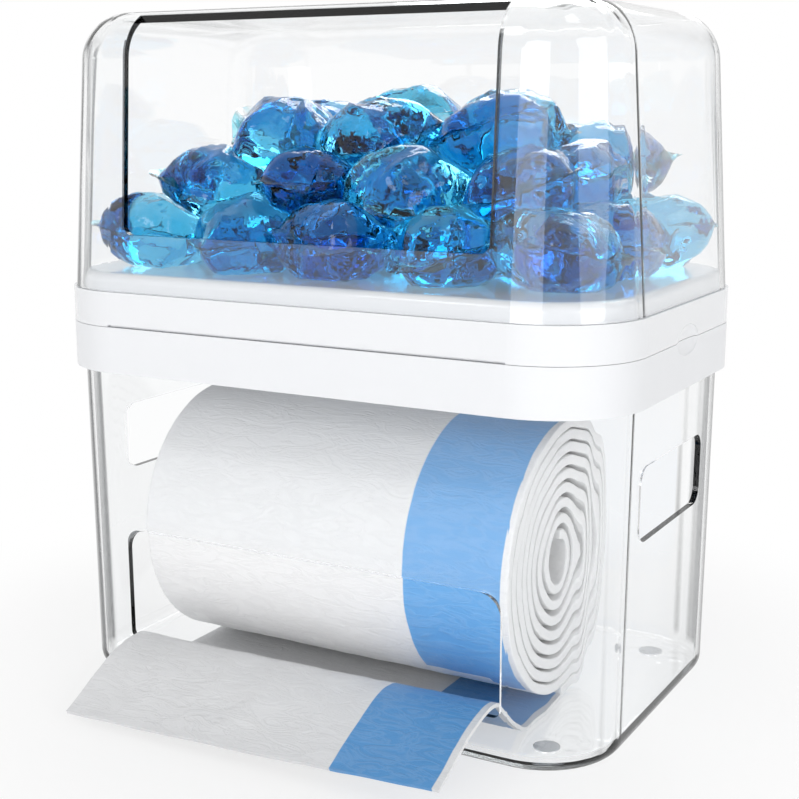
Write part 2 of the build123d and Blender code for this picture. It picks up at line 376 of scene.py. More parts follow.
@dataclass(frozen=True)
class ClearPlastic:
    """Clear moulded plastic with painted shade: dark edges round its openings and along its outline."""

    name: str
    openings: tuple[Opening, ...]
    tint: Colour = (0.98, 0.985, 0.988)
    # rim is the colour of the painted shade along the outline and in the corner streaks
    rim: Colour = (0.06, 0.066, 0.072)
    loss: Colour = (0.60, 0.66, 0.68)
    passed: Colour = (0.975, 0.98, 0.985)
    density: float = 5.0
    upright: Span = (0.35, 0.7)
    corner: Span = (0.15, 0.32)
    outline: Span = (0.70, 0.84)
    streaks: Span = (0.50, 0.74)
    streak_depth: float = 0.9
    flow_scale: Point = (170.0, 170.0, 2.5)
    flow_bump: float = 0.2
    flow_depth: float = 0.001
    bent_beyond: tuple[tuple[str, float], ...] = (("X", 0.084), ("Y", 0.041))
    bent_fade: float = 0.01

    def material(self, effects: Effects) -> Material:
        """Build the material.

        Args:
            effects: Shared node groups.

        Returns:
            The clear material.
        """
        material, tree, shader, output = start_material(self.name)
        set_values(shader, Transmission_Weight=1.0, IOR=PLASTIC_IOR, Metallic=0.0, Roughness=0.0)
        surface = tree.add("NewGeometry").outputs
        lines = tree.noise(tree.stretch(tree.place(), self.flow_scale), 1.0, 0.0)
        # Painted shade: walls seen edge on, and streaks in the rounded corners, are coloured dark
        dark = self.painted_edge_shade(tree, tree.parts(surface["Normal"]), lines)
        colour = tree.blend(dark, solid(self.tint), solid(self.rim))
        outside = tree.math("SUBTRACT", 1.0, surface["Backfacing"])
        # Painted shade on the edges of the openings, on outer faces only unless the opening is through
        for opening in self.openings:
            edge = opening.mask(tree, effects)
            if not opening.through:
                edge = tree.math("MULTIPLY", edge, outside)
            colour = tree.blend(edge, colour, solid(opening.shade))
        tree.link(colour, shader.inputs["Base Color"])
        self.bend_view(tree, shader, lines)
        let_lamps_through(tree, shader, output, self.passed)
        stain_inside(tree, output, self.loss, self.density)
        return material

    def painted_edge_shade(self, tree: Tree, normal: bpy.types.NodeOutputs, lines: Socket) -> Socket:
        """Mask of painted shade on the upright walls seen edge on, with painted dark streaks in the rounded
        corners.

        Args:
            tree: Tree of the material.
            normal: X, Y and Z of the face's direction.
            lines: Flow lines of the moulding.

        Returns:
            The mask, 1 where shade is painted on the wall.
        """
        upright = tree.ramp(tree.math("ABSOLUTE", normal["Z"]), self.upright, (1.0, 0.0))
        turn = tree.math("ABSOLUTE", tree.math("MULTIPLY", normal["X"], normal["Y"]))
        facing = tree.add("LayerWeight", {"Blend": 0.5}).outputs["Facing"]
        uneven = tree.math("SUBTRACT", lines, NOISE_MIDDLE)
        drawn = tree.math("MULTIPLY_ADD", uneven, self.streak_depth, facing)
        streaks = tree.math("MULTIPLY", tree.ramp(drawn, self.streaks), tree.ramp(turn, self.corner))
        dark = tree.math("MAXIMUM", tree.ramp(facing, self.outline), streaks)
        return tree.math("MULTIPLY", dark, upright)

    def bend_view(self, tree: Tree, shader: Node, lines: Socket) -> None:
        """Bend what is seen through the rounded corners along the flow lines.

        Args:
            tree: Tree of the material.
            shader: Its clear shader.
            lines: Flow lines of the moulding.
        """
        place = tree.parts(tree.place())
        for axis, start in self.bent_beyond:
            far = tree.math("ABSOLUTE", place[axis])
            lines = tree.math("MULTIPLY", lines, tree.ramp(far, (start, start + self.bent_fade)))
        tree.bump(shader, lines, self.flow_bump, self.flow_depth)


@dataclass(frozen=True)
class WhitePlastic:
    """Satin white moulded plastic."""

    name: str
    colour: Colour = (0.80, 0.81, 0.83)
    low: float = 0.26
    high: float = 0.40
    coat: float = 0.15
    coat_roughness: float = 0.12
    drift: float = 22.0
    grain: float = 1500.0
    grain_shade: float = 0.97
    bump: float = 0.05
    bump_depth: float = 0.0004

    def material(self, effects: Effects) -> Material:
        """Build the material from the shared grain.

        Args:
            effects: Shared node groups.

        Returns:
            The white material.
        """
        material, tree, shader, _ = start_material(self.name)
        set_values(shader, Coat_Weight=self.coat, Coat_Roughness=self.coat_roughness, IOR=PLASTIC_IOR)
        values = {"Low": self.low, "High": self.high, "Drift": self.drift, "Grain": self.grain}
        grain = tree.add("Group", values, node_tree=effects.grain).outputs
        shade = scaled(self.colour, self.grain_shade)
        colour = tree.blend(grain["Height"], solid(self.colour), solid(shade))
        tree.link(colour, shader.inputs["Base Color"])
        tree.link(grain["Roughness"], shader.inputs["Roughness"])
        tree.bump(shader, grain["Height"], self.bump, self.bump_depth)
        return material


@dataclass(frozen=True)
class BagFilm:
    """White bag film with a blue band near one end."""

    name: str
    white: Colour
    blue: Colour = (0.15, 0.41, 0.78)
    striped: bool = True
    bump: float = 0.32
    bump_depth: float = 0.0009
    band_start: Span = (0.0405, 0.0409)
    band_end: Span = (0.0823, 0.0826)
    wobble: float = 0.0012
    wobble_scale: float = 45.0
    long: float = 55.0
    short: float = 170.0
    fine: float = 700.0
    # Shares of painted shade on the white and painted highlight on the blue along the crease ridges
    ridge_shade: float = 0.97
    ridge_light: float = 0.05
    heights: Span = (0.4, 1.2)
    roughness: Span = (0.34, 0.5)

    def material(self, effects: Effects) -> Material:
        """Build the material from the shared creases.

        Args:
            effects: Shared node groups.

        Returns:
            The film material.
        """
        material, tree, shader, _ = start_material(self.name)
        set_values(shader, IOR=1.5, Sheen_Weight=0.08, Sheen_Roughness=0.4)
        values = {"Long": self.long, "Short": self.short, "Fine": self.fine}
        crinkle = tree.add("Group", values, node_tree=effects.crinkle).outputs
        # Painted shade: the white is a little darker along the crease ridges
        ridge_painted_shade = scaled(self.white, self.ridge_shade)
        colour = tree.blend(crinkle["Ridge"], solid(self.white), solid(ridge_painted_shade))
        if self.striped:
            # Painted highlight: the blue is a little paler along the crease ridges
            pale = tuple(part + self.ridge_light * (1 - part) for part in self.blue)
            ink = tree.blend(crinkle["Ridge"], solid(self.blue), solid(pale))
            colour = tree.blend(self.band(tree), colour, ink)
        tree.link(colour, shader.inputs["Base Color"])
        tree.link(tree.ramp(crinkle["Height"], self.heights, self.roughness), shader.inputs["Roughness"])
        tree.bump(shader, crinkle["Height"], self.bump, self.bump_depth)
        return material

    def band(self, tree: Tree) -> Socket:
        """Mask of the blue band, with edges that waver a little.

        Args:
            tree: Tree of the material.

        Returns:
            The mask, 1 in the band.
        """
        place = tree.place()
        waver = tree.noise(place, self.wobble_scale)
        along = tree.math("MULTIPLY_ADD", waver, self.wobble, tree.parts(place)["X"])
        start = tree.ramp(along, self.band_start)
        return tree.math("MULTIPLY", start, tree.ramp(along, self.band_end, (1.0, 0.0)))


@dataclass(frozen=True)
class PodGel:
    """Blue gel under clear film, paler towards the top where the pod holds air."""

    name: str
    tone: Tone
    pale: Colour = (0.95, 0.975, 0.985)
    passed: Colour = (0.93, 0.97, 0.99)
    density: float = 35.0
    stain_power: float = 0.5
    cloud_scale: float = 110.0
    cloud_depth: float = 1.1
    level: Span = (0.15, 0.6)
    bump: float = 0.22
    bump_depth: float = 0.004

    def material(self) -> Material:
        """Build the material: clear at its skin and deeper in colour the thicker it is.

        Returns:
            The gel material.
        """
        material, tree, shader, output = start_material(self.name)
        set_values(shader, Transmission_Weight=1.0, IOR=1.36, Metallic=0.0, Roughness=0.0)
        fill = tree.add("Attribute", attribute_name=GEL_LAYER, attribute_type="GEOMETRY").outputs["Fac"]
        cloud = tree.noise(tree.place(), self.cloud_scale)
        uneven = tree.math("MULTIPLY", tree.math("SUBTRACT", cloud, NOISE_MIDDLE), self.cloud_depth)
        blue = tree.ramp(tree.math("ADD", fill, uneven), self.level)
        stain = tuple(part**self.stain_power for part in self.tone.value)
        tree.link(tree.blend(blue, solid(self.pale), solid(stain)), shader.inputs["Base Color"])
        tree.bump(shader, cloud, self.bump, self.bump_depth)
        let_lamps_through(tree, shader, output, self.passed)
        stain_inside(tree, output, self.tone.value, self.density)
        return material


@dataclass(frozen=True)
class PodFilm:
    """Clear film of the sealed rim of a pod."""

    name: str = "PodFilm"
    colour: Colour = (0.80, 0.90, 0.96)
    passed: Colour = (0.92, 0.96, 0.98)
    crease_scale: float = 190.0
    bump: float = 0.4
    bump_depth: float = 0.002

    def material(self) -> Material:
        """Build the material.

        Returns:
            The film material.
        """
        material, tree, shader, output = start_material(self.name)
        set_values(shader, Transmission_Weight=1.0, IOR=1.3, Metallic=0.0, Roughness=0.0)
        set_values(shader, Base_Color=solid(self.colour))
        tree.bump(shader, tree.noise(tree.place(), self.crease_scale), self.bump, self.bump_depth)
        let_lamps_through(tree, shader, output, self.passed)
        return material


class Bench:
    """The ways a piece is started and finished."""

    @staticmethod
    def start(name: str, add: Callable[..., set], **size: object) -> Piece:
        """Add a primitive with everything else deselected.

        Args:
            name: Name of the piece.
            add: Operator that adds the primitive.
            **size: Arguments of the operator.

        Returns:
            The new object.
        """
        bpy.ops.object.select_all(action="DESELECT")
        add(**size)
        piece = bpy.context.object
        piece.name = name
        piece.data.name = name
        return piece

    @staticmethod
    def grid(name: str, columns: int, rows: int) -> Piece:
        """Grid from -1 to 1 both ways, cut into columns and rows."""
        cut = {"x_subdivisions": columns, "y_subdivisions": rows}
        return Bench.start(name, bpy.ops.mesh.primitive_grid_add, size=2.0, **cut)

    @staticmethod
    def only(piece: Piece) -> None:
        """Select one piece and make it active.

        Args:
            piece: The piece.
        """
        bpy.ops.object.select_all(action="DESELECT")
        piece.select_set(True)
        bpy.context.view_layer.objects.active = piece

    @staticmethod
    def modifier(piece: Piece, kind: str, **settings: object) -> None:
        """Add a modifier and apply it.

        Args:
            piece: The piece.
            kind: Type of the modifier.
            **settings: Properties of the modifier.
        """
        Bench.only(piece)
        made = piece.modifiers.new(kind.title(), kind)
        for key, value in settings.items():
            setattr(made, key, value)
        bpy.ops.object.modifier_apply(modifier=made.name)

    @staticmethod
    def close(piece: Piece, angle: float) -> None:
        """Put the place into the mesh, turn faces outwards and smooth them.

        Args:
            piece: The piece.
            angle: Widest angle between smoothed faces, in degrees.
        """
        Bench.only(piece)
        bpy.ops.object.transform_apply(location=True, rotation=True, scale=True)
        bpy.ops.object.mode_set(mode="EDIT")
        bpy.ops.mesh.select_all(action="SELECT")
        bpy.ops.mesh.remove_doubles(threshold=1e-6)
        bpy.ops.mesh.normals_make_consistent(inside=False)
        bpy.ops.object.mode_set(mode="OBJECT")
        if sum(face.area * face.normal.dot(face.center) for face in piece.data.polygons) < 0:
            piece.data.flip_normals()
        bpy.ops.object.shade_smooth_by_angle(angle=radians(angle))

    @staticmethod
    def dress(piece: Piece, *materials: Material) -> None:
        """Give a piece its materials.

        Args:
            piece: The piece.
            *materials: Materials in the order of their numbers on its faces.
        """
        piece.data.materials.clear()
        for material in materials:
            piece.data.materials.append(material)


def dress_node(name: str, material: Material) -> None:
    """Give a carried-over solid its material.

    Args:
        name: Name of the solid's node.
        material: The material.
    """
    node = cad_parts[name]
    for held in node.material_slots:
        held.material = material
    if not node.material_slots:
        node.data.materials.append(material)
    LOG.info("dressed %s", name)


def smooth(value: float, span: Span) -> float:
    """Smooth step from 0 at the start of a span to 1 at its end."""
    t = min(1.0, max(0.0, (value - span[0]) / (span[1] - span[0])))
    return t * t * (3 - 2 * t)


@dataclass(frozen=True)
class Ripple:
    """Smooth unevenness: its height, how often it changes and where it is read."""

    height: float
    scale: float
    seed: float

    def at(self, x: float, y: float, z: float, shape: int = 0) -> float:
        """Height at a point, which may differ from shape to shape.

        Args:
            x: First coordinate.
            y: Second coordinate.
            z: Third coordinate.
            shape: Number of the shape.

        Returns:
            The height, up or down.
        """
        seed = self.seed + shape
        spot = Vector((x * self.scale + seed, y * self.scale - seed, z * self.scale + 0.5 * seed))
        return self.height * noise.noise(spot)


@dataclass(frozen=True)
class Walk:
    """Point on a path in the side plane, in millimetres, with the direction to its left."""

    y: float
    z: float
    left: tuple[float, float]

    def beside(self, x: float, inset: float, rise: float = 0.0) -> Vector:
        """Point in metres that lies inset to the left of the path and rise above that."""
        return Vector((x, self.y + self.left[0] * inset, self.z + self.left[1] * inset + rise)) * MM


def walk(start: Span, heading: float, moves: list[tuple[float, float]], step: float) -> list[Walk]:
    """Points along straight runs and arcs in the side plane.

    Args:
        start: First point in millimetres.
        heading: First heading in degrees.
        moves: (length, 0) for a run and (radius, turn in degrees) for an arc, left turns positive.
        step: Longest step between points.

    Returns:
        The points in order.
    """
    y, z = start
    a = radians(heading)
    points = [Walk(y, z, (-sin(a), cos(a)))]
    for size, turn in moves:
        length = size if turn == 0 else size * radians(abs(turn))
        count = max(2, ceil(length / step))
        half = radians(turn) / count / 2
        stride = length / count if turn == 0 else 2 * size * sin(abs(half))
        for _ in range(count):
            a += half
            y, z = y + stride * cos(a), z + stride * sin(a)
            a += half
            points.append(Walk(y, z, (-sin(a), cos(a))))
    return points


@dataclass(frozen=True)
class Lamp:
    """Square soft lamp: where it stands in metres, its side and its power in watts."""

    name: str
    place: Point
    size: float
    power: float
    mirrored: bool = True

    def light(self, target: Vector) -> None:
        """Set the lamp up, aimed at a target.

        Args:
            target: Point that it shines at.
        """
        data = bpy.data.lights.new(self.name, "AREA")
        data.size = self.size
        data.energy = self.power
        lamp = bpy.data.objects.new(self.name, data)
        bpy.context.scene.collection.objects.link(lamp)
        lamp.visible_glossy = self.mirrored
        lamp.location = self.place
        lamp.rotation_euler = (target - Vector(self.place)).to_track_quat("-Z", "Y").to_euler()


@dataclass
class Studio:
    """Camera, floor, lamps and surrounding light."""

    sensor: float = 36.0
    focal_pixels: float = 1426.05
    picture_pixels: float = 799.0
    yaw: float = 29.19
    pitch: float = 11.56
    distance: float = 0.5987
    target: Point = (0.00842, -0.01503, 0.12189)
    clip: Span = (0.02, 50.0)
    ambient: float = 0.36
    floor_half: float = 6.0
    floor_drop: float = 0.0002
    floor_grey: Colour = (0.94, 0.94, 0.94)
    shadow_reach: Span = (0.12, 0.28)
    floor_glow: Span = (0.72, 1.0)
    middle: Point = (0.0, 0.0, 0.12)
    lamps: tuple[Lamp, ...] = (
        Lamp("KeyLight", (-0.6, -0.9, 1.25), 0.3, 1.4),
        Lamp("TopLight", (0.5, -0.2, 1.4), 0.3, 0.8),
        Lamp("FrontLight", (0.0, -1.4, 0.42), 0.9, 10.0, mirrored=False),
        Lamp("SideLight", (1.35, -0.35, 0.55), 0.9, 8.0, mirrored=False),
        Lamp("BackLight", (-0.4, 1.3, 1.15), 0.8, 8.5, mirrored=False),
    )

    def build(self) -> None:
        """Set up the whole studio."""
        self.camera()
        self.world()
        self.floor()
        for lamp in self.lamps:
            lamp.light(Vector(self.middle))
        bpy.context.scene.view_settings.view_transform = "Standard"

    def camera(self) -> None:
        """Set up the camera at the viewing angle of the photograph."""
        data = bpy.data.cameras.new("Camera")
        data.lens = self.sensor * self.focal_pixels / self.picture_pixels
        data.sensor_width = self.sensor
        data.clip_start, data.clip_end = self.clip
        eye = bpy.data.objects.new("Camera", data)
        bpy.context.scene.collection.objects.link(eye)
        a, e = radians(self.yaw), radians(self.pitch)
        back = Vector((sin(a) * cos(e), -cos(a) * cos(e), sin(e)))
        eye.location = Vector(self.target) + back * self.distance
        eye.rotation_euler = (-back).to_track_quat("-Z", "Y").to_euler()
        bpy.context.scene.camera = eye

    def seen(self, tree: Tree) -> Socket:
        """Mask of the rays that show the background.

        Args:
            tree: Tree that the mask is used in.

        Returns:
            The mask, 1 for rays that come straight, mirrored or through glass.
        """
        path = tree.add("LightPath").outputs
        mirrored = tree.math("MAXIMUM", path["Is Glossy Ray"], path["Is Transmission Ray"])
        return tree.math("MAXIMUM", path["Is Camera Ray"], mirrored)

    def world(self) -> None:
        """Set up a white background, and soft light of a plain level for everything else."""
        world = bpy.data.worlds.new("Studio")
        world.use_nodes = True
        bpy.context.scene.world = world
        tree = Tree(world.node_tree)
        shade = world.node_tree.nodes["Background"]
        set_values(shade, Color=solid(WHITE))
        strength = tree.ramp(self.seen(tree), (0.0, 1.0), (self.ambient, 1.0))
        tree.link(strength, shade.inputs["Strength"])

    def floor(self) -> None:
        """Lay a pale floor that keeps the shadow near the object and turns white further off."""
        floor = Bench.start("Floor", bpy.ops.mesh.primitive_plane_add, size=2 * self.floor_half)
        floor.location.z = -self.floor_drop
        material, tree, shader, output = start_material("PaleFloor")
        set_values(shader, Base_Color=solid(self.floor_grey), Roughness=0.6, Specular_IOR_Level=0.2)
        place = tree.parts(tree.place())
        squares = [tree.math("POWER", place[axis], 2.0) for axis in ("X", "Y")]
        reach = tree.math("SQRT", tree.math("ADD", *squares))
        far = tree.ramp(reach, self.shadow_reach, self.floor_glow, interpolation_type="SMOOTHSTEP")
        mask = tree.math("MULTIPLY", far, self.seen(tree))
        glow = tree.add("Emission", {"Color": solid(WHITE), "Strength": 1.0})
        mixed = tree.add("MixShader", {0: mask, 1: shader.outputs[0], 2: glow.outputs[0]})
        tree.link(mixed.outputs[0], output.inputs["Surface"])
        Bench.dress(floor, material)
        floor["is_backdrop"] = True


@dataclass
class Shells:
    """Clear tub and cover, white collar and tray, and the pads under the tub."""

    tub: ClearPlastic = ClearPlastic(
        "ClearTub",
        (
            Opening(half_width=86.5, low=20.5, high=68.5, corner=6.0, wall=74.0),
            Opening(half_width=36.0, low=81.0, high=110.5, corner=6.5, wall=112.0, in_front=False),
        ),
        # Darker painted shade along the tub's outline, with wider painted corner streaks
        rim=(0.02, 0.022, 0.024),
        streaks=(0.40, 0.64),
    )
    cover: ClearPlastic = ClearPlastic(
        "ClearCover",
        (
            # Dark painted shade on the cover's side edges, lighter painted shade on its roof edges
            Opening(**COVER_NOTCH, above=194.0, below=268.0, margin=0.9, through=True),
            Opening(**COVER_NOTCH, above=268.0, shade=(0.3, 0.31, 0.32)),
        ),
    )
    collar: WhitePlastic = WhitePlastic("WhiteCollar")
    tray: WhitePlastic = WhitePlastic("WhiteTray", low=0.12, high=0.24, coat=0.4)
    pad: WhitePlastic = WhitePlastic("FootPad", colour=(0.62, 0.63, 0.64), low=0.45, high=0.6, coat=0.0)

    def dress(self, effects: Effects) -> None:
        """Give each carried-over solid its material.

        Args:
            effects: Shared node groups.
        """
        dress_node("bag_tub", self.tub.material(effects))
        dress_node("pod_cover", self.cover.material(effects))
        dress_node("collar_ring", self.collar.material(effects))
        dress_node("pod_tray", self.tray.material(effects))
        pad = self.pad.material(effects)
        for end in ("front", "back"):
            for side in ("left", "right"):
                dress_node(f"foot_{end}_{side}", pad)


@dataclass
class BagRoll:
    """Roll of bags: a thick band of folded film wound in half circles."""

    length: float = 169.0
    radius: float = 58.5
    y: float = -13.0
    z: float = 4.2
    band: float = 4.212
    band_share: float = 0.98
    half_turns: int = 17
    first_step: float = 2.34
    step_growth: float = 0.06435
    path_step: float = 5.0
    cells: int = 52
    smooth_angle: float = 45.0
    core_slack: float = 2.6
    end_wave: Ripple = Ripple(0.8, 0.035, 4.0)
    end_wave_pitch: float = 7.0
    waves: tuple[Ripple, ...] = (Ripple(0.28, 0.06, 11.0), Ripple(0.18, 0.16, 3.0))
    edge_round: float = 0.9
    edge_angle: float = 55.0
    edge_profile: float = 0.6
    round_angle: float = 50.0
    outward_slope: float = 0.5
    film: BagFilm = BagFilm("RollFilm", white=(0.88, 0.88, 0.885))
    # Unstriped like the real end faces, and painted light: whiter than the roll's outer film, to lift the
    # shade on the ends and between the turns
    painted_light_ends: BagFilm = BagFilm("RollEnds", white=(0.95, 0.95, 0.95), striped=False, bump=0.2)

    def path(self) -> list[Walk]:
        """Outer face of the band from the bottom of the roll inwards.

        Returns:
            The points of the path.
        """
        moves, radius = [], self.radius
        for turn in range(self.half_turns):
            moves.append((radius, 180.0))
            radius -= self.first_step + turn * self.step_growth
        return walk((self.y, self.z), 0.0, moves, self.path_step)

    def build(self, effects: Effects) -> None:
        """Wind the band, give it its thickness and dress it.

        Args:
            effects: Shared node groups.
        """
        path = self.path()
        last = len(path) - 1
        piece = Bench.grid("BagRoll", self.cells, last)
        for vertex in piece.data.vertices:
            row = round((vertex.co.y + 1) / 2 * last)
            vertex.co = self.wound(vertex.co.x, row / last, path[row])
        Bench.modifier(piece, "SOLIDIFY", thickness=self.band_share * self.band * MM, offset=0.0)
        Bench.close(piece, self.smooth_angle)
        self.round_ends(piece)
        Bench.dress(piece, self.film.material(effects), self.painted_light_ends.material(effects))
        self.mark_inner_turns(piece)
        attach(piece, Body.TUB.value)
        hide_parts("bag_roll")
        LOG.info("built %s", piece.name)

    def wound(self, u: float, turn: float, at: Walk) -> Vector:
        """Place of a point of the band.

        Args:
            u: Place along the roll from -1 to 1.
            turn: Share of the winding from the outside, 0 to 1.
            at: Point of the path.

        Returns:
            The point in metres.
        """
        slack = self.core_slack * turn * turn + self.end_wave.at(at.y, at.z, self.end_wave_pitch * turn)
        x = u * (self.length / 2 - max(0.0, slack))
        return at.beside(x, self.band / 2 + sum(wave.at(x, at.y, at.z) for wave in self.waves))

    def round_ends(self, piece: Piece) -> None:
        """Round the cut edges of the band a little.

        Args:
            piece: The wound band.
        """
        Bench.modifier(
            piece,
            "BEVEL",
            width=self.edge_round * MM,
            segments=2,
            limit_method="ANGLE",
            angle_limit=radians(self.edge_angle),
            profile=self.edge_profile,
        )
        Bench.only(piece)
        bpy.ops.object.shade_smooth_by_angle(angle=radians(self.round_angle))

    def mark_inner_turns(self, piece: Piece) -> None:
        """Give all but the outside of the outermost turn the unstriped film that is painted lighter.

        Args:
            piece: The dressed band.
        """
        for face in piece.data.polygons:
            middle = Vector((face.center.x, self.y * MM, (self.z + self.radius) * MM))
            outward = face.center - middle
            outermost = outward.length > (self.radius - self.band) * MM
            outside = face.normal.dot(outward.normalized()) > self.outward_slope
            face.material_index = 0 if outermost and outside else 1


@dataclass
class LeadingBag:
    """Bag drawn out of the window: along the floor, up over the lip and down outside."""

    length: float = 169.0
    y: float = -13.0
    z: float = 4.2
    run: float = 34.487
    ramp: float = 20.939
    ramp_angle: float = 36.0
    ramp_r: float = 14.0
    hump_r: float = 9.0
    droop_r: float = 55.0
    droop_angle: float = 24.0
    droop: float = 25.0
    path_step: float = 1.6
    film: float = 1.5
    cells: int = 84
    smooth_angle: float = 45.0
    edge_slope: float = 0.7
    edge_area: float = 0.55
    lift: float = 4.2
    lift_power: float = 1.6
    dip: float = 3.0
    free: Span = (0.42, 0.66)
    outside: Span = (0.6, 1.0)
    waves: tuple[Ripple, ...] = (Ripple(0.55, 0.055, 2.0), Ripple(0.3, 0.14, 9.0))
    deepest_wave: float = -0.2
    # Painted shade: the same bag film as on the roll, coloured darker in its white and its blue; its edges
    # keep nearly the roll's white
    painted_shade_film: BagFilm = BagFilm("LeadingFilm", white=(0.71, 0.715, 0.725), blue=(0.08, 0.275, 0.57))
    edge: BagFilm = BagFilm("LeadingEdge", white=(0.86, 0.865, 0.87), striped=False, bump=0.15)

    def path(self) -> list[Walk]:
        """Underside of the bag from the bottom of the roll to its free end.

        Returns:
            The points of the path.
        """
        moves = [
            (self.run, 0.0),
            (self.ramp_r, -self.ramp_angle),
            (self.ramp, 0.0),
            (self.hump_r, self.ramp_angle),
            (self.droop_r, self.droop_angle),
            (self.droop, 0.0),
        ]
        return walk((self.y, self.z), 180.0, moves, self.path_step)

    def build(self, effects: Effects) -> None:
        """Lay the sheet over the lip, give it its thickness and dress it.

        Args:
            effects: Shared node groups.
        """
        path = self.path()
        last = len(path) - 1
        piece = Bench.grid("LeadingBag", self.cells, last)
        for vertex in piece.data.vertices:
            row = round((vertex.co.y + 1) / 2 * last)
            vertex.co = self.laid(vertex.co.x * self.length / 2, row / last, path[row])
        Bench.modifier(piece, "SOLIDIFY", thickness=self.film * MM, offset=0.0)
        Bench.close(piece, self.smooth_angle)
        Bench.dress(piece, self.painted_shade_film.material(effects), self.edge.material(effects))
        smallest = self.edge_area * (self.length / self.cells) * self.path_step * MM * MM
        for face in piece.data.polygons:
            if abs(face.normal.x) > self.edge_slope or face.area < smallest:
                face.material_index = 1
        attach(piece, Body.TUB.value)
        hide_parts("leading_bag")

    def laid(self, x: float, share: float, at: Walk) -> Vector:
        """Place of a point of the sheet.

        Args:
            x: Place across the sheet in millimetres.
            share: Share of its length from the roll, 0 to 1.
            at: Point of the path.

        Returns:
            The point in metres.
        """
        across = (x + self.length / 2) / self.length
        free = smooth(share, self.free)
        sag = smooth(share, self.outside) * self.dip * (1 - across)
        rise = free * self.lift * across**self.lift_power - sag
        soft = free * sum(wave.at(x, at.y, 0.0) for wave in self.waves)
        return at.beside(x, -self.film / 2 - max(self.deepest_wave, soft), rise)


@dataclass(frozen=True)
class PodShape:
    """Pod at the origin, in millimetres: a filled pillow between two films that are sealed round it."""

    half: float = 21.6
    flange: float = 25.0
    crown: float = 16.4
    swell: float = 0.08
    swell_turn: float = 3.1
    squareness: float = 4.5
    rings: int = 15
    ring_power: float = 0.85
    rim: float = 0.999
    film: float = 0.12
    film_from: float = 1.02
    loose: Span = (0.86, 1.15)
    loose_waves: tuple[Ripple, ...] = (Ripple(1.3, 0.11, 5.0), Ripple(0.8, 0.3, 1.0))
    tip_reach: Span = (20.0, 26.0)
    tip_height: float = 6.0
    tip_turns: tuple[float, float, float] = (2.2, 1.7, 3.9)
    body_power: float = 2.4
    body_round: float = 0.6
    pleat: Ripple = Ripple(4.5, 0.5, 8.0)
    pleat_power: int = 3
    dent: Ripple = Ripple(1.2, 0.07, 14.0)
    folds: tuple[Ripple, ...] = (Ripple(3.6, 0.08, 6.0), Ripple(1.0, 0.17, 3.0))
    fold_lift: float = 1.0
    fold_power: int = 4
    film_gap: float = 3.0
    smooth_angle: float = 60.0

    def pattern(self, seed: int) -> Piece:
        """Model one shape from two crowned films joined at their rim.

        Args:
            seed: Number of the shape.

        Returns:
            The shape as an object.
        """
        films = []
        for up in (1, -1):
            film = Bench.grid(f"PodPattern{seed}", 2 * self.rings, 2 * self.rings)
            for vertex in film.data.vertices:
                vertex.co = self.filled(vertex.co.x, vertex.co.y, up, seed)
            films.append(film)
        Bench.only(films[0])
        films[1].select_set(True)
        bpy.ops.object.join()
        piece = bpy.context.object
        Bench.close(piece, self.smooth_angle)
        for face in piece.data.polygons:
            reach = self.reach(face.center.x, face.center.y)
            face.material_index = 1 if reach > self.film_from * self.half * MM else 0
        return piece

    def reach(self, x: float, y: float) -> float:
        """How far a point lies from the middle, measured along a rounded square."""
        return (abs(x) ** self.squareness + abs(y) ** self.squareness) ** (1 / self.squareness)

    def top(self, seed: int) -> float:
        """Height of the crown of a shape."""
        return self.crown * (1 + self.swell * sin(self.swell_turn * seed))

    def filled(self, u: float, v: float, up: int, seed: int) -> Vector:
        """Place of a point of a filled film.

        Args:
            u: Place across the film from -1 to 1.
            v: Place along the film from -1 to 1.
            up: 1 for the upper film and -1 for the lower one.
            seed: Number of the shape.

        Returns:
            The point in metres.
        """
        edge = max(abs(u), abs(v))
        if edge < TINY:
            return Vector((0, 0, up * self.top(seed))) * MM
        norm = self.reach(u, v)
        ring = edge if edge > self.rim else edge**self.ring_power
        x, y = (side * ring / norm * self.flange for side in (u, v))
        share = ring * self.flange / self.half
        z = self.waved(x, y, share, seed)
        if share < 1:
            pleat = self.pleat.at(x / norm, y / norm, up, seed)
            z += up * self.bulge(x, y, share, pleat, up, seed)
        elif ring < self.rim:
            z += up * self.film
        return Vector((x, y, z)) * MM

    def waved(self, x: float, y: float, share: float, seed: int) -> float:
        """Height of the loose rim, which waves and turns up or down at its corners.

        Args:
            x: Place across the pod.
            y: Place along the pod.
            share: Distance from the middle, 1 at the end of the filled part.
            seed: Number of the shape.

        Returns:
            The height.
        """
        wave = sum(ripple.at(x, y, seed, seed) for ripple in self.loose_waves)
        first, across, along = self.tip_turns
        turn = sin(first * seed + (x > 0) * across + (y > 0) * along)
        tip = smooth(hypot(x, y), self.tip_reach) * self.tip_height * turn
        return smooth(share, self.loose) * (wave + tip)

    def bulge(self, x: float, y: float, share: float, pleat: float, up: int, seed: int) -> float:
        """Height of the filled part, with its pleats, dents and folds.

        Args:
            x: Place across the pod.
            y: Place along the pod.
            share: Distance from the middle, 1 at the end of the filled part.
            pleat: Height of the pleats there.
            up: 1 for the upper film and -1 for the lower one.
            seed: Number of the shape.

        Returns:
            The height.
        """
        body = self.top(seed) * (1 - share**self.body_power) ** self.body_round
        body += share**self.pleat_power * (1 - share) * pleat
        side = up * self.film_gap
        dent = self.dent.at(x, y, side, seed)
        fold = sum(abs(ripple.at(x, y, side, seed)) for ripple in self.folds)
        return max(self.film, body + (dent - fold + self.fold_lift) * (1 - share**self.fold_power))


